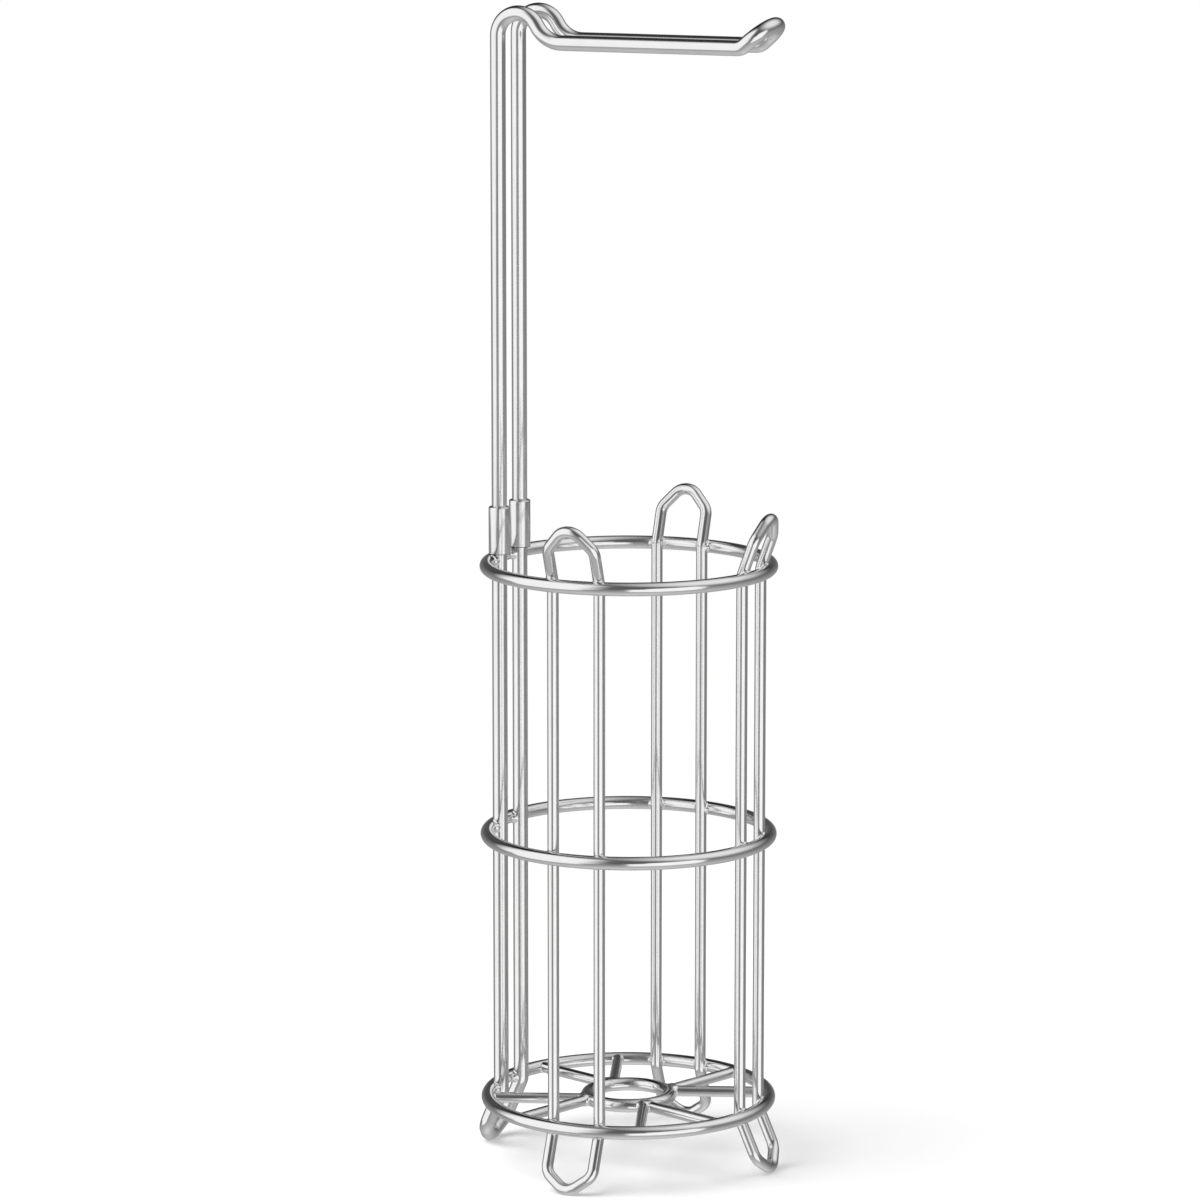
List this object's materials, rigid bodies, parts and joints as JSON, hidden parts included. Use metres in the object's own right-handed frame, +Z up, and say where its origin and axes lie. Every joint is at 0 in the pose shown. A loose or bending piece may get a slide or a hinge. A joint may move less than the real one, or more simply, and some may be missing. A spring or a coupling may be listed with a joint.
{
  "type": "toilet roll storage holder",
  "caption": "Free-standing wire stand with a ring-and-spoke base, a round cage for spare toilet rolls and a lift-off twin-rod hook for the roll in use.",
  "frame": {"origin": "on the floor, on the axis of the three rings", "axes": "+Z is up; +X is the way the hook's arm points, away from the ferrules; +Y follows by the right hand, so the front frame is at -Y"},
  "size_m": [0.1674, 0.1674, 0.6046],
  "materials": {
    "satin_nickel": "satin nickel plate over welded steel wire"
  },
  "bodies": {
    "stand": {"front_frame": "satin_nickel", "right_frame": "satin_nickel", "back_frame": "satin_nickel", "hook_support_frame": "satin_nickel", "bottom_ring": "satin_nickel", "middle_ring": "satin_nickel", "top_ring": "satin_nickel", "centre_ring": "satin_nickel", "spoke_1": "satin_nickel", "spoke_2": "satin_nickel", "spoke_3": "satin_nickel", "spoke_4": "satin_nickel", "spoke_5": "satin_nickel", "spoke_6": "satin_nickel", "spoke_7": "satin_nickel", "spoke_8": "satin_nickel", "near_ferrule": "satin_nickel", "far_ferrule": "satin_nickel", "bottom_ring_welds": "satin_nickel", "middle_ring_welds": "satin_nickel", "top_ring_welds": "satin_nickel", "spoke_pair_1_welds": "satin_nickel", "spoke_pair_2_welds": "satin_nickel", "spoke_pair_3_welds": "satin_nickel", "spoke_pair_4_welds": "satin_nickel"},
    "hook": {"hook": "satin_nickel"}
  },
  "joints": [
    {"name": "hook_lift", "type": "slide", "parent": "stand", "child": "hook", "axis": [0, 0, 1], "range_m": [0, 0.013]}
  ]
}
